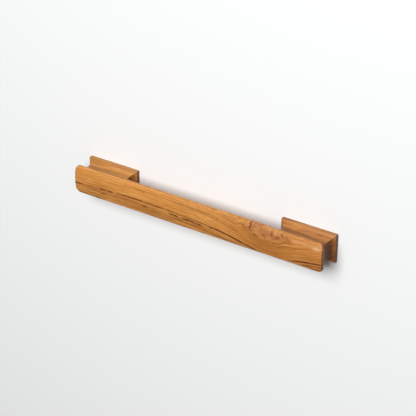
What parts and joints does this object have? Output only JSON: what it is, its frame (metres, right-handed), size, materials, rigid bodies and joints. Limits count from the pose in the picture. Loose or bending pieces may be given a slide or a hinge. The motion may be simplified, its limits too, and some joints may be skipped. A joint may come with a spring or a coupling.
{
  "type": "grab rail",
  "caption": "Teak grab rail for a boat: a crowned hand bar on two coved feet, fixed from behind through threaded inserts",
  "frame": {"origin": "on the mounting surface, midway between the two feet", "axes": "X along the rail, Y across it, Z out of the mounting surface towards the hand"},
  "size_m": [0.323, 0.034, 0.0327],
  "materials": {
    "bar_teak": "oiled teak, satin",
    "foot_teak": "oiled teak, satin",
    "dowel_beech": "plain beech",
    "insert_brass": "turned brass"
  },
  "bodies": {
    "root": {"grip_bar": "bar_teak", "left_foot": "foot_teak", "right_foot": "foot_teak", "left_outer_dowel": "dowel_beech", "left_inner_dowel": "dowel_beech", "right_inner_dowel": "dowel_beech", "right_outer_dowel": "dowel_beech", "left_insert": "insert_brass", "right_insert": "insert_brass"}
  },
  "joints": []
}
